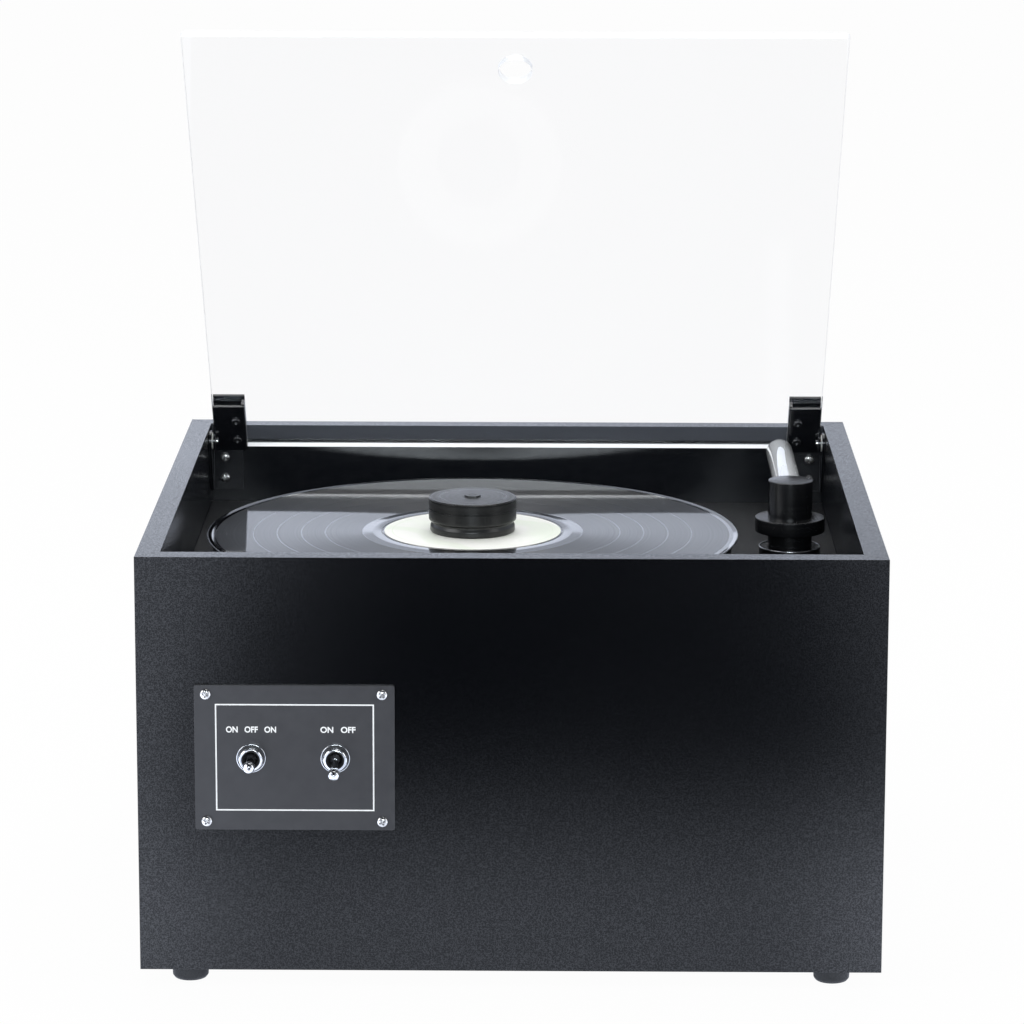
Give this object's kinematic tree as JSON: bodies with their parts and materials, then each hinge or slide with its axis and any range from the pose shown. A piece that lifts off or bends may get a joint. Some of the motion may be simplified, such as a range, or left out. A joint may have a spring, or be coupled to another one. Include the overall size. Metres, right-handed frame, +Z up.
{
  "type": "record cleaning machine",
  "caption": "Box-shaped vacuum cleaning machine for records, with a sunken turntable, a screw-down clamp, a swivelling suction arm, toggle switches and a clear hinged lid.",
  "frame": {"origin": "bottom centre of the whole machine's box, on the surface that the feet stand on", "axes": "+X to the right as seen from the front, +Y towards the back, +Z up"},
  "size_m": [0.396, 0.4308, 0.4953],
  "materials": {
    "laminate": "black laminate, fine pebble grain, satin",
    "board": "raw fibreboard, matt",
    "deck_paint": "black crinkle paint, satin",
    "foot_rubber": "moulded, matt",
    "bright_steel": "bright plated",
    "plate_black": "black satin with a fine white printed line",
    "switch_case": "moulded, satin",
    "chrome": "polished",
    "hinge_black": "black gloss enamel",
    "nylon": "natural nylon",
    "screw_black": "black oxide",
    "clear_acrylic": "clear polished sheet",
    "motor_metal": "cast, plain",
    "zinc_plate": "zinc plated",
    "platter_metal": "black anodised",
    "mat_rubber": "fine texture, matt",
    "vinyl": "grooved, glossy",
    "label_paper": "pale printed paper",
    "clamp_plastic": "turned, satin",
    "brass": "turned",
    "arm_plastic": "turned, satin",
    "clear_tube": "clear polished tube",
    "velvet": "short black pile",
    "tank_plastic": "milky plastic",
    "hose_rubber": "plain, matt",
    "fan_metal": "pressed",
    "grille_black": "black satin",
    "spout_plastic": "black nylon"
  },
  "bodies": {
    "cabinet": {"front_panel": "laminate", "back_panel": "laminate", "left_panel": "laminate", "right_panel": "laminate", "bottom_panel": "board", "corner_blocks": "board", "deck_cleats": "board", "deck": "deck_paint", "feet": "foot_rubber", "foot_screws": "bright_steel", "control_plate": "plate_black", "control_plate_screws": "bright_steel", "turntable_switch": "switch_case", "vacuum_switch": "switch_case", "switch_nuts": "chrome", "left_hinge_bracket": "hinge_black", "right_hinge_bracket": "hinge_black", "hinge_bracket_screws": "bright_steel", "hinge_pins": "bright_steel", "hinge_washers": "nylon", "turntable_motor": "motor_metal", "motor_plate": "zinc_plate", "motor_standoffs": "zinc_plate", "arm_socket": "arm_plastic", "arm_socket_ring": "bright_steel", "arm_spring": "bright_steel", "fluid_tank": "tank_plastic", "tank_lid": "tank_plastic", "suction_hose": "hose_rubber", "hose_clamps": "zinc_plate", "vacuum_motor": "motor_metal", "vacuum_studs": "zinc_plate", "vacuum_gasket": "hose_rubber", "fan_cover": "zinc_plate", "intake_duct": "hose_rubber", "vent_grille": "grille_black", "back_panel_screws": "screw_black", "power_inlet": "switch_case", "drain_spout": "spout_plastic"},
    "lid": {"lid_sheet": "clear_acrylic", "left_hinge_clamp": "hinge_black", "right_hinge_clamp": "hinge_black", "hinge_clamp_screws": "screw_black"},
    "turntable": {"platter": "platter_metal", "platter_mat": "mat_rubber", "spindle": "bright_steel", "drive_hub": "platter_metal"},
    "record": {"record": "vinyl", "record_label": "label_paper"},
    "record_clamp": {"record_clamp": "clamp_plastic", "clamp_insert": "brass"},
    "arm_bearing": {"arm_thrust_ring": "nylon"},
    "suction_arm": {"arm_post": "arm_plastic", "arm_collar": "arm_plastic", "suction_tube": "clear_tube", "velvet_lips": "velvet"},
    "turntable_lever": {"turntable_lever": "chrome"},
    "vacuum_lever": {"vacuum_lever": "chrome"},
    "vacuum_fan": {"vacuum_fan": "fan_metal"},
    "drain_plug": {"drain_plug": "hose_rubber"}
  },
  "joints": [
    {"name": "lid_hinge", "type": "hinge", "parent": "cabinet", "child": "lid", "pos_m": [0, 0.161, 0.228], "axis": [-1, 0, 0], "range_deg": [-51.9, 33.1]},
    {"name": "turntable_spin", "type": "hinge", "parent": "cabinet", "child": "turntable", "pos_m": [-0.0238, 0, 0.195], "axis": [0, 0, 1], "continuous": true},
    {"name": "record_lift", "type": "slide", "parent": "turntable", "child": "record", "axis": [0, 0, 1], "range_m": [0, 0.025]},
    {"name": "clamp_lift", "type": "slide", "parent": "record", "child": "record_clamp", "axis": [0, 0, 1], "range_m": [0, 0.022]},
    {"name": "arm_lift", "type": "slide", "parent": "cabinet", "child": "arm_bearing", "axis": [0, 0, 1], "range_m": [-0.0043, 0], "stiffness_N_per_m": 300, "springref_m": 0.006, "deforming": ["arm_spring"]},
    {"name": "arm_swing", "type": "hinge", "parent": "arm_bearing", "child": "suction_arm", "pos_m": [0.158, 0.035, 0.2], "axis": [0, 0, -1], "range_deg": [-105, 0]},
    {"name": "turntable_toggle", "type": "hinge", "parent": "cabinet", "child": "turntable_lever", "pos_m": [-0.1373, -0.195, 0.1276], "axis": [-1, 0, 0], "range_deg": [-13, 13]},
    {"name": "vacuum_toggle", "type": "hinge", "parent": "cabinet", "child": "vacuum_lever", "pos_m": [-0.0928, -0.195, 0.1276], "axis": [-1, 0, 0], "range_deg": [0, 26]},
    {"name": "fan_spin", "type": "hinge", "parent": "cabinet", "child": "vacuum_fan", "pos_m": [0.08, -0.075, 0.09], "axis": [0, 0, 1], "continuous": true},
    {"name": "drain_plug_pull", "type": "slide", "parent": "cabinet", "child": "drain_plug", "axis": [0, 1, 0], "range_m": [0, 0.02]}
  ]
}
